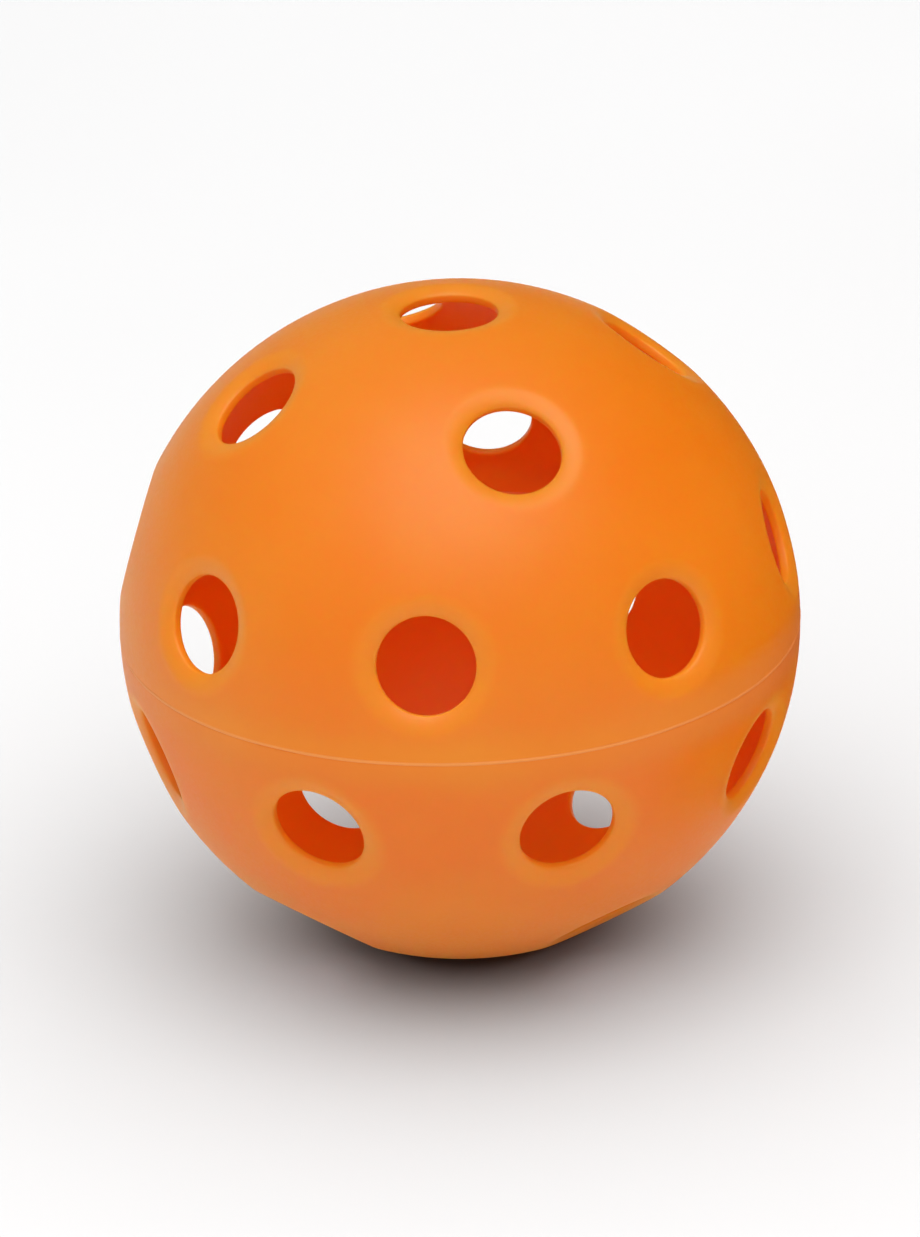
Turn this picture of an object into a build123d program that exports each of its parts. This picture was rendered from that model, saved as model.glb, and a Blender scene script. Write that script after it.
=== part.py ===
"""Indoor pickleball ball: two injection-moulded half shells, welded at the equator.

Frame, in millimetres: the origin is the ball's centre. +Z is the moulding axis, through
the two pole holes, so the weld lies in the plane Z = 0. -Y is the front, through one hole
of the upper half's equatorial ring.

Each half has 13 round holes: one at its pole, a crown of four and a ring of eight. The
upper half's rim carries a tongue, the lower half's rim a groove, and the ring of plastic
that melted between them holds the halves together.
"""
from build123d import *
from math import asin, cos, pi, radians, sin, sqrt, tan
import os

# The ball
BALL_DIAMETER = 74.0
WALL = 1.8

# The holes
HOLE_DIAMETER = 10.5
LIP_WIDTH = 2.4                 # the rounded lip reaches this far out from the hole's wall
LIP_DEPTH = 0.95                # and this far down it
LIP_FULLNESS = 0.35             # how far the lip's curve is drawn out towards the sharp corner
LIP_FACE_ANGLE = 3.0            # how much steeper than the ball's surface it starts, in degrees
LIP_CURVED_SHARE = 0.90         # the rest of its width, on the outer side, is a plain slope
HOLE_INNER_ROUNDING = 0.3
CROWN_HOLES = 4
CROWN_LATITUDE = 52.5
RING_HOLES = 8
RING_LATITUDE = 16.3
LOWER_HALF_TURN = 24.0          # how far the lower half is turned against the upper one

# The weld: a tongue in a groove, with a film of fused plastic between them
RIM_WALL = 2.7                  # the rim is thicker than the wall, towards the inside
RIM_HEIGHT = 1.6                # each rim's full thickness reaches this far from the equator
RIM_BLEND_HEIGHT = 3.2          # and it has faded into the wall here
WELD_FILM = 0.30                # fused plastic between the two rims
TONGUE_WIDTH = 0.8
TONGUE_LENGTH = 1.1
TONGUE_SIDE_FILM = 0.15
OUTER_BEAD_HEIGHT = 0.06        # how far the weld stands proud, outside and inside
INNER_BEAD_HEIGHT = 0.35

BALL_R = BALL_DIAMETER / 2
CAVITY_R = BALL_R - WALL
HOLE_R = HOLE_DIAMETER / 2
LIP_R = HOLE_R + LIP_WIDTH
RIM_R = BALL_R - RIM_WALL
LAND_Z = WELD_FILM / 2
TONGUE_MID_R = BALL_R - RIM_WALL / 2
EDGE_TOLERANCE = 0.05
CUT_CLEARANCE = 1.0             # cutting shapes reach this far past the ball


def at_height(radius, z):
    """The distance from the Z axis of a sphere's surface at height z."""
    return sqrt(radius**2 - z**2)


def tongue_outline(side_film, length):
    """The tongue's or the groove's corners, from outside to inside, as (radius, z) below the equator."""
    half = TONGUE_WIDTH / 2 + side_film
    outer, inner = TONGUE_MID_R + half, TONGUE_MID_R - half
    return [(outer, -length), (inner, -length)]


def rim_outline(land_z, side_film, length):
    """A rim from the outer surface to the cavity: its outer land, the tongue or groove, its inner land."""
    (outer, bottom), (inner, _) = tongue_outline(side_film, length)
    return [
        (at_height(BALL_R, land_z), land_z),
        (outer, land_z),
        (outer, bottom),
        (inner, bottom),
        (inner, land_z),
        (RIM_R, land_z),
    ]


UPPER_RIM = rim_outline(LAND_Z, 0.0, TONGUE_LENGTH)
LOWER_RIM = rim_outline(-LAND_Z, TONGUE_SIDE_FILM, TONGUE_LENGTH + TONGUE_SIDE_FILM)


def on_section(points):
    """Points (radius, z) of a section through the Z axis, as points of the XZ plane."""
    return [Vector(radius, 0, z) for radius, z in points]


def lip_points(side):
    """Points of a lip's section about Z: where it leaves the ball, its curve's start and end, its corner."""
    slope = tan(asin(LIP_R / BALL_R) - radians(LIP_FACE_ANGLE))
    start_z = at_height(BALL_R, LIP_R)
    corner_z = start_z + LIP_WIDTH * slope
    curved = LIP_WIDTH * LIP_CURVED_SHARE
    return on_section([
        (LIP_R, side * start_z),
        (HOLE_R + curved, side * (corner_z - curved * slope)),
        (HOLE_R, side * (corner_z - LIP_DEPTH)),
        (HOLE_R, side * corner_z),
    ])


def lip_curve(curve_start, wall_end, corner):
    """The round part of a lip's section, from its slope to the hole's wall."""
    reach_out = curve_start + (corner - curve_start) * LIP_FULLNESS
    reach_in = wall_end + (corner - wall_end) * LIP_FULLNESS
    return Bezier(curve_start, reach_out, reach_in, wall_end)


def turned_half(rim, side):
    """A half shell with its pole hole, turned about Z. side is 1 for the upper half, -1 for the lower."""
    blend_z = side * RIM_BLEND_HEIGHT
    rim_top = (RIM_R, side * RIM_HEIGHT)
    blend_end = (at_height(CAVITY_R, blend_z), blend_z)
    inner_pole = (HOLE_R, side * at_height(CAVITY_R, HOLE_R))
    lip_start, curve_start, wall_end, corner = lip_points(side)
    diagonal = sin(radians(45))
    outer = ThreePointArc(lip_start, *on_section([
        (BALL_R * diagonal, side * BALL_R * diagonal), rim[0]]))
    inner = ThreePointArc(*on_section([
        blend_end, (CAVITY_R * diagonal, side * CAVITY_R * diagonal), inner_pole]))
    edge = Polyline(*on_section([*rim, rim_top, blend_end]))
    wall = Line(*on_section([inner_pole]), wall_end)
    lip = [lip_curve(curve_start, wall_end, corner), Line(curve_start, lip_start)]
    return revolve(make_face([outer, edge, inner, wall, *lip]), Axis.Z)


def hole_space():
    """The space that a hole on the Z axis takes: its bore, its flared lip and the air above it."""
    lip_start, curve_start, wall_end, corner = lip_points(1)
    above = lip_start + (lip_start - curve_start)
    low, high = BALL_R / 2, BALL_R + CUT_CLEARANCE
    corners = on_section([(above.X, high), (0, high), (0, low), (HOLE_R, low)])
    rest = Polyline(curve_start, above, *corners, wall_end)
    return revolve(make_face([lip_curve(curve_start, wall_end, corner), rest]), Axis.Z)


HOLE_SPACE = hole_space()


def side_hole_directions(side):
    """(latitude, longitude) of the crown's and the ring's holes of one half."""
    step = 360 / RING_HOLES
    crown_step = 360 / CROWN_HOLES
    crown = [(side * CROWN_LATITUDE, step / 2 + k * crown_step) for k in range(CROWN_HOLES)]
    ring = [(side * RING_LATITUDE, k * step) for k in range(RING_HOLES)]
    return crown + ring


def hole_at(latitude, longitude):
    """The space of the hole whose axis points that way from the ball's centre."""
    lat, lon = radians(latitude), radians(longitude)
    axis = Vector(cos(lat) * cos(lon), cos(lat) * sin(lon), sin(lat))
    return Plane(origin=(0, 0, 0), z_dir=axis) * HOLE_SPACE


def inner_hole_edges(shell):
    """The edges where the holes meet the cavity."""
    distance = at_height(CAVITY_R, HOLE_R)
    found = []
    for edge in shell.edges():
        edge_distance = edge.center(CenterOf.BOUNDING_BOX).length
        full_circle = abs(edge.length - 2 * pi * HOLE_R) < EDGE_TOLERANCE
        if full_circle and abs(edge_distance - distance) < EDGE_TOLERANCE:
            found.append(edge)
    return found


def half_shell(rim, side):
    """One moulding: the plain half with its 13 holes, and their inner edges rounded."""
    between_holes = 1.5 * 360 / RING_HOLES
    shell = Rot(0, 0, between_holes) * turned_half(rim, side)
    for latitude, longitude in side_hole_directions(side):
        shell -= hole_at(latitude, longitude)
    return fillet(inner_hole_edges(shell), HOLE_INNER_ROUNDING)


def weld_bead():
    """The ring of fused plastic between the rims, a little proud of the ball outside and inside."""
    outer = ThreePointArc(*on_section([
        LOWER_RIM[0], (BALL_R + OUTER_BEAD_HEIGHT, 0), UPPER_RIM[0]]))
    inner = ThreePointArc(*on_section([
        UPPER_RIM[-1], (RIM_R - INNER_BEAD_HEIGHT, 0), LOWER_RIM[-1]]))
    upper = Polyline(*on_section(UPPER_RIM))
    lower = Polyline(*on_section(reversed(LOWER_RIM)))
    return revolve(make_face([outer, upper, inner, lower]), Axis.Z)


PARTS = {
    "upper_half_shell": half_shell(UPPER_RIM, 1),
    "lower_half_shell": Rot(0, 0, LOWER_HALF_TURN) * half_shell(LOWER_RIM, -1),
    "weld_bead": weld_bead(),
}

os.makedirs("parts", exist_ok=True)
for node, solid in PARTS.items():
    solid.label = node
    export_step(solid, f"parts/{node}.step")
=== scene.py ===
"""The look of the ball: two half shells and the weld between them, on a pale floor in soft light.

The ball's size comes from the frame. Lengths are in millimetres, as on the part's drawing,
unless a name or a comment says otherwise, and each mesh is scaled to metres as it is made.
"""
from math import asin, cos, pi, radians, sin, sqrt, tan

import bmesh
import bpy
from mathutils import Matrix, Vector, noise
from mathutils.geometry import delaunay_2d_cdt


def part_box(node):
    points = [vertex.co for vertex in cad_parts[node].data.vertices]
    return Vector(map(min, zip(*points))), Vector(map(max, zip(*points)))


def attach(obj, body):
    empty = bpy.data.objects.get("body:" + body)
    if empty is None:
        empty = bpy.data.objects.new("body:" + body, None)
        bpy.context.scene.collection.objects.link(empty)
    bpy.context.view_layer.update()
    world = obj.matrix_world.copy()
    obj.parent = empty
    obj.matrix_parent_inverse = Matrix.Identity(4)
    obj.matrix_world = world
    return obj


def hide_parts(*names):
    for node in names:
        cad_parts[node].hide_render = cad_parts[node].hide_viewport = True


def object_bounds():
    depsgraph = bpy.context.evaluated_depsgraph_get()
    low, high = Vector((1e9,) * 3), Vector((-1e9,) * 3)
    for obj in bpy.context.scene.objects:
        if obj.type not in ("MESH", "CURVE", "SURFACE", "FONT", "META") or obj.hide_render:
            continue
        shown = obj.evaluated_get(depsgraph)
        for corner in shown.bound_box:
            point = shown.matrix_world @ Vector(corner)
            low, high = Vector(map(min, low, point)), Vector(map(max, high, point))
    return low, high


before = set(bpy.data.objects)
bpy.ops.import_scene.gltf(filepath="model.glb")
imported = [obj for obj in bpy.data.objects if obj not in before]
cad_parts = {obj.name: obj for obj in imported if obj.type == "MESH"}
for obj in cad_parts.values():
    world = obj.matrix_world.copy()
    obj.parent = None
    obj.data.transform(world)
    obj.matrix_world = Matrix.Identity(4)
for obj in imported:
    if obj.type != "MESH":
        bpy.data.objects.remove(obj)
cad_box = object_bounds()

MM = 0.001
POLE = Vector((0, 0, 1))

# The ball, from the frame
BALL_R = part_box("upper_half_shell")[1].x / MM
BEAD_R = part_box("weld_bead")[1].x / MM
FLOOR_Z = cad_box[0].z / MM

# The shells
WALL = 1.8
CAVITY_R = BALL_R - WALL
HOLE_R = 5.25
LIP_WIDTH = 2.4
LIP_DEPTH = 0.95
LIP_FULLNESS = 0.35             # how far the lip's curve is drawn out towards its corner
LIP_FACE_ANGLE = 3.0            # how much steeper than the ball's surface it starts, in degrees
LIP_CURVED_SHARE = 0.90         # the rest of its width, on the outer side, is a plain slope
INNER_ROUNDING = 0.3
CROWN_HOLES = 4
CROWN_LATITUDE = 52.5
RING_HOLES = 8
RING_LATITUDE = 16.3
LOWER_HALF_TURN = 24.0

# The rims and the tongue and groove between them
RIM_WALL = 2.7
RIM_R = BALL_R - RIM_WALL
RIM_HEIGHT = 1.6
RIM_BLEND_HEIGHT = 3.2
LAND_Z = 0.15
LAND_BEVEL = 0.06
TONGUE_HALF_WIDTH = 0.4
TONGUE_LENGTH = 1.1
TONGUE_SIDE_FILM = 0.15
TONGUE_MID_R = BALL_R - RIM_WALL / 2

# The weld's beads, outside and inside. LEAN is the share that is left of one where it is leanest
OUTER_BEAD_HEIGHT = BEAD_R - BALL_R
OUTER_BEAD_HALF_WIDTH = 0.21
OUTER_LEAN_HEIGHT, OUTER_LEAN_WIDTH = 0.3, 0.75
INNER_BEAD_HEIGHT = 0.33
INNER_BEAD_HALF_WIDTH = 0.45
INNER_LEAN_HEIGHT, INNER_LEAN_WIDTH = 0.35, 0.7
INNER_BEAD_SINK = 0.02          # its edges start this far behind the rims' inner face
BEAD_DRIFT = 0.05               # how far the outer bead wanders up and down
BEAD_MEAN, BEAD_SLOW_SWING, BEAD_QUICK_SWING = 0.55, 0.45, 0.3
BEAD_SLOW_WAVES, BEAD_QUICK_WAVES, BEAD_DRIFT_WAVES = 2.5, 24, 5
OUTER_BEAD_SEED, INNER_BEAD_SEED, BEAD_DRIFT_SEED = 0.3, 7.1, 3.7

# How finely the meshes are divided
OUTER_SPACING = 1.1
INNER_SPACING = 1.5
COLLARS = (0.45, 1.0, 1.8)      # rings of points round each hole, this far from its lip
COLLAR_CLEARANCE = 0.7          # from the last collar to the open points, in spacings
HOLE_SEGMENTS = 80
LIP_STEPS = 12
INNER_LIP_STEPS = 3
RIM_SEGMENTS = 360
BEAD_SEGMENTS = 1080
BEAD_STEPS = 8
SHARP_ANGLE = radians(40)
SAME_POINT = 1e-9               # flattened points nearer than this would be one

# The plastic's colours
ORANGE = (0.962, 0.25, 0.007, 1)            # the upper half
ORANGE_DULL = (0.955, 0.228, 0.010, 1)      # the lower half
ORANGE_CLOUDS_AND_LIP_LIGHT = (0.985, 0.33, 0.02, 1)        # both halves' clouds, and the painted highlight on their lips
ORANGE_CAVITY_LIGHT = (0.995, 0.31, 0.004, 1)      # the cavity, lighter than the outside: painted light for the glow through its thin wall
ORANGE_MILKY = (0.975, 0.29, 0.035, 1)      # the weld
ORANGE_CREAM = (0.98, 0.36, 0.09, 1)        # mixed into the weld all over

# The plastic's patterns. Scales are in waves per metre, and roughness has no unit
CLOUD_SCALE, CLOUD_PALENESS = 55.0, 0.35
GRAIN_SCALE, GRAIN_HEIGHT = 2200.0, 0.02
PEEL_SCALE, PEEL_HEIGHT = 320.0, 0.03
# painted highlight: how much paler a lip is at its hole's wall, for the light its rounding catches; also the
# weld's share of cream all over
LIP_LIGHT_AND_WELD_CREAM_SHARE = 0.6
PAINTED_LIP_LIGHT_FADE = (1.2, 3.4)      # a lip's painted highlight fades between these distances from its hole's wall
CAVITY_LIGHT_STARTS = WALL * 0.5  # half way down a hole's wall its colour starts to turn to the cavity's painted light
SATIN = (0.42, 0.52)            # the least and the most roughness
SCATTER_REACH = 2.0             # how far light spreads in the plastic, at most
SCATTER_BY_COLOUR = (1.0, 0.45, 0.1)
SCATTER_RISE = (0.4, 4.5)       # its share grows from none to all between these distances from the seam

# The camera
CAMERA_AZIMUTH = 6.2
CAMERA_ELEVATION = 24.2
CAMERA_ROLL = -2.05
CAMERA_DISTANCE_RADII = 20.0
BALL_SHARE_OF_WIDTH = 0.74
IMAGE_WIDTH, IMAGE_HEIGHT = 920, 1237
SENSOR = 36.0

# The stage and the room, in metres
FLOOR_REACH = 1.6               # from the ball to the floor's edges
PAPER_DARK = (0.19, 0.19, 0.19, 1)
PAPER_LIGHT = (0.20, 0.20, 0.20, 1)
CARD_X, CARD_FRONT, CARD_BACK, CARD_TOP = 0.046, -0.03, 0.25, 0.03
CARD_COLOUR = (0.12, 0.02, 0.0, 1)
WHITE = (1, 1, 1)
WARM = (1.0, 0.24, 0.02)
BACKDROP_BRIGHTNESS = 0.92      # beyond the floor, as the camera sees it
ROOM_FADE = (-0.1, 0.7)         # its light fades between these cosines of the angle from its dim side


class Surface:
    """The points and faces of one piece, gathered ring by ring and patch by patch."""

    def __init__(self):
        self.points = []
        self.faces = []

    def add(self, points):
        """Adds points and returns their numbers."""
        first = len(self.points)
        self.points.extend(points)
        return list(range(first, len(self.points)))

    def bridge(self, rings):
        """Joins each closed ring to the next with four-sided faces."""
        for ring, following in zip(rings, rings[1:]):
            for k, corner in enumerate(ring):
                after = (k + 1) % len(ring)
                self.faces.append((corner, ring[after], following[after], following[k]))

    def piece(self, name, place, material):
        """Makes the object at its place, smooth, with its faces turned outwards."""
        mesh = bpy.data.meshes.new(name)
        mesh.from_pydata([place @ (point * MM) for point in self.points], [], self.faces)
        shaping = bmesh.new()
        shaping.from_mesh(mesh)
        bmesh.ops.recalc_face_normals(shaping, faces=shaping.faces)
        shaping.to_mesh(mesh)
        shaping.free()
        mesh.shade_smooth()
        mesh.set_sharp_from_angle(angle=SHARP_ANGLE)
        mesh.materials.append(material)
        return add_object(name, mesh)


def add_object(name, data):
    """A new object in the scene, made of a mesh, a lamp or a lens."""
    made = bpy.data.objects.new(name, data)
    bpy.context.scene.collection.objects.link(made)
    return made


# ---------------------------------------------------------------- the half shells

def direction(latitude, longitude):
    """The unit vector at a latitude and longitude in degrees."""
    lat, lon = radians(latitude), radians(longitude)
    return Vector((cos(lat) * cos(lon), cos(lat) * sin(lon), sin(lat)))


def hole_axes():
    """The axes of one half's holes, with its pole up: the pole, the crown and the ring."""
    step = 360 / RING_HOLES
    crown_step = 360 / CROWN_HOLES
    crown = [direction(CROWN_LATITUDE, step / 2 + k * crown_step) for k in range(CROWN_HOLES)]
    ring = [direction(RING_LATITUDE, k * step) for k in range(RING_HOLES)]
    return [POLE, *crown, *ring]


HOLE_AXES = hole_axes()


def ring_about(axis, radius, height, segments):
    """Points on a circle round an axis through the ball's centre."""
    turn = POLE.rotation_difference(axis)
    angles = [2 * pi * k / segments for k in range(segments)]
    return [turn @ Vector((radius * cos(angle), radius * sin(angle), height)) for angle in angles]


def at_height(radius, z):
    """The distance from the pole axis of a sphere's surface at height z."""
    return sqrt(radius**2 - z**2)


def lip_curve():
    """The lip's section, as (radius, height on the hole's axis), from the ball's surface to the wall."""
    rim = Vector((HOLE_R + LIP_WIDTH, at_height(BALL_R, HOLE_R + LIP_WIDTH)))
    slope = tan(asin(rim.x / BALL_R) - radians(LIP_FACE_ANGLE))
    corner = Vector((HOLE_R, rim.y + LIP_WIDTH * slope))
    start = rim.lerp(corner, 1 - LIP_CURVED_SHARE)
    end = corner - Vector((0, LIP_DEPTH))
    reach_out, reach_in = start.lerp(corner, LIP_FULLNESS), end.lerp(corner, LIP_FULLNESS)
    curve = [tuple(rim)]
    for k in range(LIP_STEPS + 1):
        t = k / LIP_STEPS
        u = 1 - t
        point = u**3 * start + 3 * t * u**2 * reach_out + 3 * t**2 * u * reach_in + t**3 * end
        curve.append(tuple(point))
    return curve


def hole_profile():
    """A hole's section, as (radius, height on its axis), from the outer surface to the inner one."""
    inner_s, inner_d = HOLE_R + INNER_ROUNDING, CAVITY_R + INNER_ROUNDING
    inner_h = at_height(inner_d, inner_s)
    inner_sweep = pi / 2 - asin(inner_s / inner_d)
    profile = lip_curve()
    for k in range(INNER_LIP_STEPS + 1):
        angle = pi + inner_sweep * k / INNER_LIP_STEPS
        profile.append((inner_s + INNER_ROUNDING * cos(angle), inner_h + INNER_ROUNDING * sin(angle)))
    return profile


def rim_profile(tongue_end, side_film):
    """A rim's section, as (radius, height), from outside, round the tongue or groove, to the cavity."""
    bevel_z = LAND_Z + LAND_BEVEL
    half = TONGUE_HALF_WIDTH + side_film
    return [
        (at_height(BALL_R, bevel_z), bevel_z),
        (at_height(BALL_R, LAND_Z) - LAND_BEVEL, LAND_Z),
        (TONGUE_MID_R + half, LAND_Z),
        (TONGUE_MID_R + half, tongue_end),
        (TONGUE_MID_R - half, tongue_end),
        (TONGUE_MID_R - half, LAND_Z),
        (RIM_R, LAND_Z),
        (RIM_R, RIM_HEIGHT),
        (at_height(CAVITY_R, RIM_BLEND_HEIGHT), RIM_BLEND_HEIGHT),
    ]


def golden_points(radius, spacing):
    """Points spread evenly over the northern half of a sphere, about one spacing apart."""
    golden_angle = pi * (3 - sqrt(5))
    count = int(4 * pi * radius**2 / (sqrt(3) / 2 * spacing**2))
    points = []
    for k in range(count // 2):
        z = 1 - (2 * k + 1) / count
        across = sqrt(1 - z * z)
        angle = golden_angle * k
        points.append(Vector((across * cos(angle), across * sin(angle), z)) * radius)
    return points


def skin_points(surface, radius, spacing, lip, lowest):
    """Adds the points between a skin's holes and its rim: the holes' collars, then the open points."""
    added = []
    for axis in HOLE_AXES:
        for away in COLLARS:
            angle = lip + away / radius
            collar = ring_about(axis, radius * sin(angle), radius * cos(angle), HOLE_SEGMENTS)
            added.extend(surface.add([point for point in collar if point.z > lowest]))
    clear = lip + (COLLARS[-1] + spacing * COLLAR_CLEARANCE) / radius
    open_points = [
        point for point in golden_points(radius, spacing)
        if point.z > lowest and all(point.angle(axis) > clear for axis in HOLE_AXES)]
    added.extend(surface.add(open_points))
    return added


def skin(surface, radius, spacing, hole_rings, rim_ring):
    """Covers a half sphere with triangles, from its rim up to the rings round its holes."""
    lip = surface.points[hole_rings[0][0]].angle(HOLE_AXES[0])
    lowest = surface.points[rim_ring[0]].z + spacing / 2
    known = [*rim_ring, *(corner for ring in hole_rings for corner in ring)]
    known.extend(skin_points(surface, radius, spacing, lip, lowest))
    flat = []                   # stereographic, so that neighbours on the sphere stay neighbours
    for corner in known:
        unit = surface.points[corner].normalized()
        flat.append(Vector((unit.x, unit.y)) / (1 + unit.z))
    ring_of = {corner: k for k, ring in enumerate(hole_rings) for corner in ring}
    triangles = delaunay_2d_cdt(flat, [], [], 0, SAME_POINT)[2]
    for triangle in triangles:
        corners = [known[k] for k in triangle]
        rings = {ring_of.get(corner) for corner in corners}
        fills_a_hole = len(rings) == 1 and rings != {None}
        if not fills_a_hole:
            surface.faces.append(tuple(corners))


def add_measure(piece, name, values):
    """Keeps one length per point with a mesh, for its material to read."""
    piece.data.attributes.new(name, "FLOAT", "POINT").data.foreach_set("value", values)


def half_shell(name, side, turn, rim, material):
    """One moulding with its 13 holes: built pole up, mirrored if it is the lower one, and turned."""
    surface = Surface()
    outer_rings, inner_rings = [], []
    for axis in HOLE_AXES:
        rings = [surface.add(ring_about(axis, s, h, HOLE_SEGMENTS)) for s, h in hole_profile()]
        surface.bridge(rings)
        outer_rings.append(rings[0])
        inner_rings.append(rings[-1])
    rim_rings = [surface.add(ring_about(POLE, r, z, RIM_SEGMENTS)) for r, z in rim]
    surface.bridge(rim_rings)
    skin(surface, BALL_R, OUTER_SPACING, outer_rings, rim_rings[0])
    skin(surface, CAVITY_R, INNER_SPACING, inner_rings, rim_rings[-1])
    place = Matrix.Rotation(radians(turn), 4, "Z") @ Matrix.Diagonal((1, 1, side, 1))
    made = surface.piece(name, place, material)
    from_hole = []
    for point in surface.points:
        from_hole.append(min(point.cross(axis).length for axis in HOLE_AXES) - HOLE_R)
    add_measure(made, "from_hole", from_hole)
    add_measure(made, "depth", [BALL_R - point.length for point in surface.points])
    add_measure(made, "from_seam", [abs(point.z) for point in surface.points])
    return made


# ---------------------------------------------------------------- the weld

def bead_fullness(angle, seed):
    """How full the weld's bead is at an angle round the ball, from 0 to 1."""
    where = Vector((cos(angle), sin(angle), seed))
    slow = noise.fractal(where * BEAD_SLOW_WAVES, 1.0, 2.0, 2)
    quick = noise.fractal(where * BEAD_QUICK_WAVES, 1.0, 2.0, 3)
    return min(max(BEAD_MEAN + BEAD_SLOW_SWING * slow + BEAD_QUICK_SWING * quick, 0.0), 1.0)


def left_of(lean, fullness):
    """The share of its full size that a bead has, from its lean share to 1."""
    return lean + (1 - lean) * fullness


def bead_section(angle):
    """The weld's section at one angle: the outer bead, the film round the tongue, the inner bead."""
    fullness = bead_fullness(angle, OUTER_BEAD_SEED)
    half_width = OUTER_BEAD_HALF_WIDTH * left_of(OUTER_LEAN_WIDTH, fullness)
    height = OUTER_BEAD_HEIGHT * left_of(OUTER_LEAN_HEIGHT, fullness)
    drift = BEAD_DRIFT * noise.noise(Vector((cos(angle), sin(angle), BEAD_DRIFT_SEED)) * BEAD_DRIFT_WAVES)
    section = []
    for k in range(BEAD_STEPS + 1):
        across = 2 * k / BEAD_STEPS - 1
        z = drift + across * half_width
        proud = height * (1 - across**2) - LAND_BEVEL / 2 * across**4
        section.append((at_height(BALL_R, z) + proud, z))
    outside, inside = TONGUE_MID_R + TONGUE_HALF_WIDTH, TONGUE_MID_R - TONGUE_HALF_WIDTH
    section += [(outside, LAND_Z), (outside, -TONGUE_LENGTH), (inside, -TONGUE_LENGTH), (inside, LAND_Z)]
    fullness = bead_fullness(angle, INNER_BEAD_SEED)
    half_width = INNER_BEAD_HALF_WIDTH * left_of(INNER_LEAN_WIDTH, fullness)
    height = INNER_BEAD_HEIGHT * left_of(INNER_LEAN_HEIGHT, fullness)
    for k in range(BEAD_STEPS + 1):
        across = 1 - 2 * k / BEAD_STEPS
        section.append((RIM_R + INNER_BEAD_SINK - height * (1 - across**2), across * half_width))
    outside, inside = outside + TONGUE_SIDE_FILM, inside - TONGUE_SIDE_FILM
    deep = TONGUE_LENGTH + TONGUE_SIDE_FILM
    section += [(inside, -LAND_Z), (inside, -deep), (outside, -deep), (outside, -LAND_Z)]
    return section


def weld_bead(material):
    """The ring of fused plastic, a little uneven all round, as squeezed-out plastic is."""
    surface = Surface()
    turns = []
    for k in range(BEAD_SEGMENTS):
        angle = 2 * pi * k / BEAD_SEGMENTS
        section = [Vector((r * cos(angle), r * sin(angle), z)) for r, z in bead_section(angle)]
        turns.append(surface.add(section))
    surface.bridge([*turns, turns[0]])
    return surface.piece("weld_line", Matrix.Identity(4), material)


# ---------------------------------------------------------------- the materials

def add_node(tree, kind, settings=(), **inputs):
    """A node with its settings and inputs. An input is a value or an output, and _3 means input number 3."""
    made = tree.nodes.new(kind)
    for name, value in dict(settings).items():
        setattr(made, name, value)
    for name, value in inputs.items():
        socket = made.inputs[int(name[1:])] if name[0] == "_" else made.inputs[name]
        if isinstance(value, bpy.types.NodeSocket):
            tree.links.new(value, socket)
        else:
            socket.default_value = value
    return made


def noise_in(tree, place, scale, detail, roughness=0.5):
    """A noise pattern at a place."""
    return add_node(tree, "ShaderNodeTexNoise", Vector=place, Scale=scale, Detail=detail,
                    Roughness=roughness).outputs["Fac"]


def ramp(tree, value, span, low, high, smooth=False):
    """Turns a value that runs over a span into one that runs from low to high."""
    shape = "SMOOTHSTEP" if smooth else "LINEAR"
    made = add_node(tree, "ShaderNodeMapRange", {"interpolation_type": shape}, **{
        "Value": value, "From Min": span[0], "From Max": span[1], "To Min": low, "To Max": high})
    return made.outputs["Result"]


def mix(tree, share, first, second):
    """A colour between two others."""
    return add_node(tree, "ShaderNodeMix", {"data_type": "RGBA"}, _0=share, _6=first, _7=second).outputs[2]


def measure(tree, name):
    """A length that a mesh keeps for each point. The weld keeps none, which reads as 0, as at a lip."""
    return add_node(tree, "ShaderNodeAttribute", {"attribute_name": name}).outputs["Fac"]


def new_material(name):
    """An empty material: its node tree and its Principled shader."""
    material = bpy.data.materials.new(name)
    material.use_nodes = True
    return material, material.node_tree, material.node_tree.nodes["Principled BSDF"]


def plastic_colour(tree, place, base, pale):
    """Faint clouds in the base colour, a painted highlight on the lips round the holes, and the cavity's
    painted light.
    """
    clouds = noise_in(tree, place, CLOUD_SCALE, 3.0, 0.55)
    cloud_share = ramp(tree, clouds, (0.35, 0.65), 0.0, CLOUD_PALENESS)
    # painted highlight on the lips round the holes; the weld keeps no from_hole, so there it is the share of
    # cream all over
    lip_light_and_weld_cream = ramp(tree, measure(tree, "from_hole"), PAINTED_LIP_LIGHT_FADE, LIP_LIGHT_AND_WELD_CREAM_SHARE, 0.0, smooth=True)
    share = add_node(tree, "ShaderNodeMath", {"operation": "MAXIMUM"}, _0=cloud_share, _1=lip_light_and_weld_cream)
    outer = mix(tree, share.outputs["Value"], base, pale)
    # painted light: the cavity is coloured lighter, for the light that comes in through the thin wall
    cavity_light_share = ramp(tree, measure(tree, "depth"), (CAVITY_LIGHT_STARTS, WALL), 0.0, 1.0)
    return mix(tree, cavity_light_share, outer, ORANGE_CAVITY_LIGHT)


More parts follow.
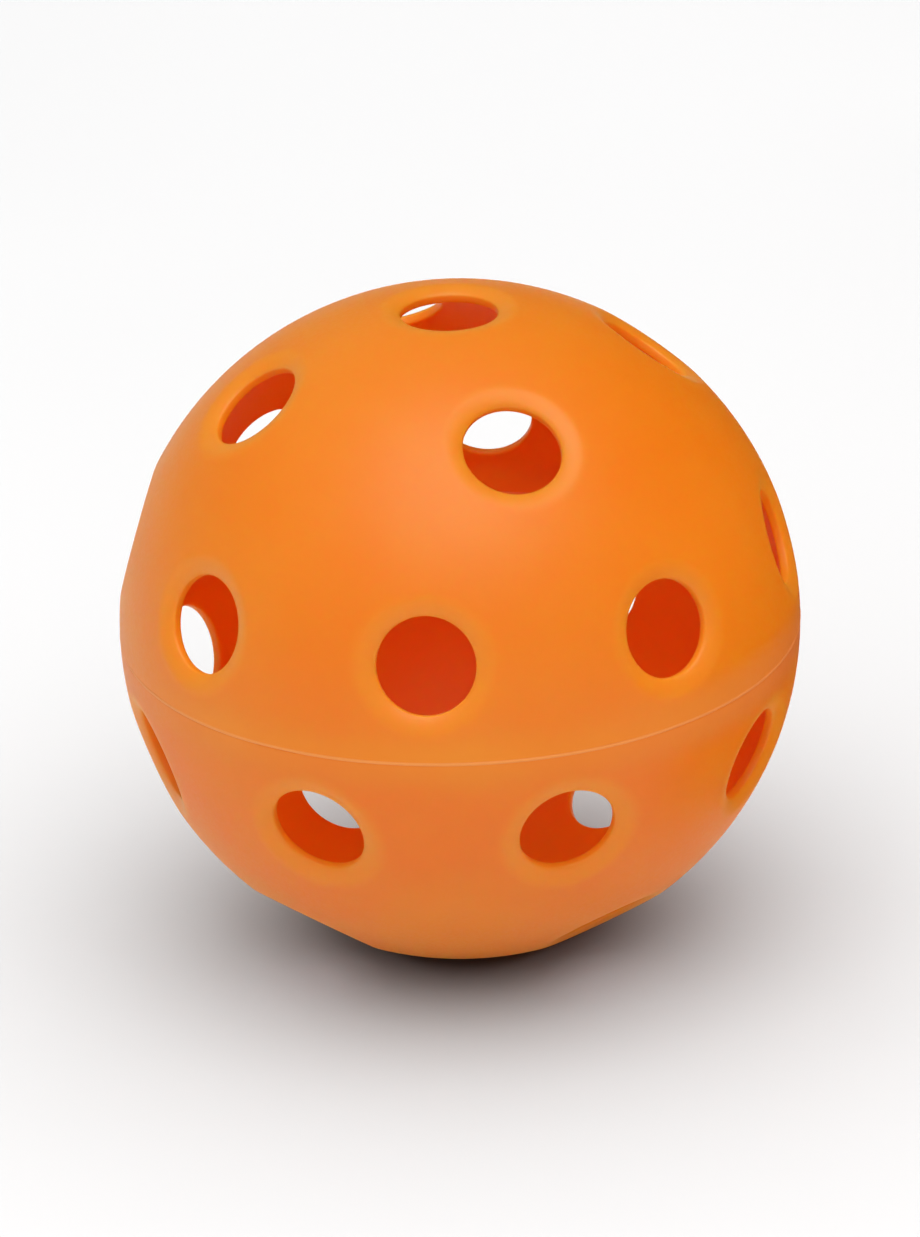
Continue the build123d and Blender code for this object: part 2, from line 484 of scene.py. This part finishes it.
def plastic(name, base, pale, scatter):
    """Satin moulded polyethylene with a fine mould texture. Scatter is how much light spreads in it."""
    material, tree, shader = new_material(name)
    place = add_node(tree, "ShaderNodeTexCoord").outputs["Object"]
    tree.links.new(plastic_colour(tree, place, base, pale), shader.inputs["Base Color"])
    grain = noise_in(tree, place, GRAIN_SCALE, 2.0, 0.6)
    peel = noise_in(tree, place, PEEL_SCALE, 2.0)
    tree.links.new(ramp(tree, grain, (0.3, 0.7), *SATIN), shader.inputs["Roughness"])
    fine = add_node(tree, "ShaderNodeBump", Height=grain, Strength=0.35, Distance=GRAIN_HEIGHT * MM)
    soft = add_node(tree, "ShaderNodeBump", Height=peel, Strength=0.5, Distance=PEEL_HEIGHT * MM,
                    Normal=fine.outputs["Normal"])
    tree.links.new(soft.outputs["Normal"], shader.inputs["Normal"])
    if scatter:
        weight = ramp(tree, measure(tree, "from_seam"), SCATTER_RISE, 0.0, scatter, smooth=True)
        tree.links.new(weight, shader.inputs["Subsurface Weight"])
    shader.inputs["Subsurface Radius"].default_value = SCATTER_BY_COLOUR
    shader.inputs["Subsurface Scale"].default_value = SCATTER_REACH * MM
    shader.inputs["IOR"].default_value = 1.45
    shader.inputs["Specular IOR Level"].default_value = 0.4
    return material


def floor_material():
    """Matt pale paper with the faintest mottling."""
    material, tree, shader = new_material("floor_paper")
    place = add_node(tree, "ShaderNodeTexCoord").outputs["Object"]
    mottled = mix(tree, noise_in(tree, place, 6.0, 2.0), PAPER_DARK, PAPER_LIGHT)
    tree.links.new(mottled, shader.inputs["Base Color"])
    shader.inputs["Roughness"].default_value = 0.9
    shader.inputs["Specular IOR Level"].default_value = 0.2
    return material


def card_material():
    """Dull dark orange cloth."""
    material, _, shader = new_material("card_cloth")
    shader.inputs["Base Color"].default_value = CARD_COLOUR
    shader.inputs["Roughness"].default_value = 1.0
    return material


# ---------------------------------------------------------------- the stage, the light and the camera

def stage_panel(name, corners, material):
    """A flat panel with four corners, in metres, that isn't part of the ball."""
    mesh = bpy.data.meshes.new(name)
    mesh.from_pydata(corners, [], [(0, 1, 2, 3)])
    mesh.materials.append(material)
    made = add_object(name, mesh)
    return made


def floor():
    """A wide pale floor under the ball."""
    near, far, z = -FLOOR_REACH, FLOOR_REACH, FLOOR_Z * MM
    corners = [(near, near, z), (far, near, z), (far, far, z), (near, far, z)]
    return stage_panel("floor", corners, floor_material())


def reflection_card():
    """A dark orange card on the ball's right, seen only in reflections, which hides the white floor there."""
    bottom = FLOOR_Z * MM
    corners = [(CARD_X, CARD_FRONT, bottom), (CARD_X, CARD_BACK, bottom),
               (CARD_X, CARD_BACK, CARD_TOP), (CARD_X, CARD_FRONT, CARD_TOP)]
    card = stage_panel("reflection_card", corners, card_material())
    card.visible_camera = card.visible_diffuse = card.visible_shadow = card.visible_transmission = False


def around_ball(azimuth, elevation, distance):
    """A place in metres round the ball, azimuth 0 in front and 90 on the right."""
    a, e = radians(azimuth), radians(elevation)
    return Vector((sin(a) * cos(e), -cos(a) * cos(e), sin(e))) * distance


def aimed_at_ball(name, data, place, roll=0.0):
    """A lamp or camera at its place, turned to the ball's centre."""
    made = add_object(name, data)
    made.location = place
    made.rotation_mode = "QUATERNION"
    level = (-made.location).to_track_quat("-Z", "Y").to_matrix()
    made.rotation_quaternion = (level @ Matrix.Rotation(radians(roll), 3, "Z")).to_quaternion()
    return made


def soft_light(name, place, width, power, colour=WHITE):
    """A round lamp aimed at the ball. Its width is in metres and its power in watts."""
    lamp = bpy.data.lights.new(name, "AREA")
    lamp.shape = "DISK"
    lamp.size = width
    lamp.energy = power
    lamp.color = colour
    return aimed_at_ball(name, lamp, place)


def floor_light(paper):
    """A second overhead lamp that lights the paper alone, so that it is near white round the shadow."""
    lamp = soft_light("floor_light", around_ball(0, 88, 1.5), width=5.0, power=350.0)
    lit = bpy.data.collections.new("lit_by_floor_light")
    lit.objects.link(paper)
    lamp.light_linking.receiver_collection = lit


def room_light(strength, dim_side):
    """White light from all round that fades to nothing on one side, with a plain white backdrop."""
    world = bpy.data.worlds.new("room")
    world.use_nodes = True
    tree = world.node_tree
    background = tree.nodes["Background"]
    background.inputs["Color"].default_value = (*WHITE, 1)
    outwards = add_node(tree, "ShaderNodeTexCoord").outputs["Generated"]
    towards_dim = add_node(tree, "ShaderNodeVectorMath", {"operation": "DOT_PRODUCT"},
                           _0=outwards, _1=around_ball(dim_side, 0, 1)).outputs["Value"]
    level = ramp(tree, towards_dim, ROOM_FADE, strength, 0.0, smooth=True)
    seen = add_node(tree, "ShaderNodeLightPath").outputs["Is Camera Ray"]
    shown = ramp(tree, seen, (0.0, 1.0), level, BACKDROP_BRIGHTNESS)
    tree.links.new(shown, background.inputs["Strength"])
    bpy.context.scene.world = world


def camera():
    """A long lens, from a little above, with the ball in the middle of the picture."""
    ball_half_angle = asin(1 / CAMERA_DISTANCE_RADII)
    half_height = tan(ball_half_angle) / BALL_SHARE_OF_WIDTH * IMAGE_HEIGHT / IMAGE_WIDTH
    lens = bpy.data.cameras.new("camera")
    lens.sensor_width = SENSOR
    lens.lens = SENSOR / 2 / half_height
    place = around_ball(CAMERA_AZIMUTH, CAMERA_ELEVATION, CAMERA_DISTANCE_RADII * BALL_R * MM)
    bpy.context.scene.camera = aimed_at_ball("camera", lens, place, CAMERA_ROLL)


def tone():
    """Plain tones, and enough bounces for light to fill the hollow ball."""
    scene = bpy.context.scene
    scene.view_settings.view_transform = "Standard"
    scene.cycles.max_bounces = 28
    scene.cycles.diffuse_bounces = 24
    scene.cycles.glossy_bounces = 6


upper_plastic = plastic("upper_plastic", ORANGE, ORANGE_CLOUDS_AND_LIP_LIGHT, scatter=1.0)
lower_plastic = plastic("lower_plastic", ORANGE_DULL, ORANGE_CLOUDS_AND_LIP_LIGHT, scatter=1.0)
weld_plastic = plastic("weld_plastic", ORANGE_MILKY, ORANGE_CREAM, scatter=0.0)

tongue_rim = rim_profile(-TONGUE_LENGTH, 0.0)
groove_rim = rim_profile(TONGUE_LENGTH + TONGUE_SIDE_FILM, TONGUE_SIDE_FILM)
upper = half_shell("upper_half", 1, 0.0, tongue_rim, upper_plastic)
lower = half_shell("lower_half", -1, LOWER_HALF_TURN, groove_rim, lower_plastic)
weld = weld_bead(weld_plastic)
for piece, node, slot in ((upper, "upper_half_shell", "shell"),
                          (lower, "lower_half_shell", "shell"),
                          (weld, "weld_bead", "weld")):
    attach(piece, "root")
    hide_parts(node)

paper = floor()
room_light(0.29, dim_side=110)
soft_light("key", around_ball(13, 70, 0.9), width=0.9, power=7.2)
soft_light("side_bounce", around_ball(100, 8, 0.4), width=0.25, power=0.24, colour=WARM)
reflection_card()
floor_light(paper)
camera()
tone()
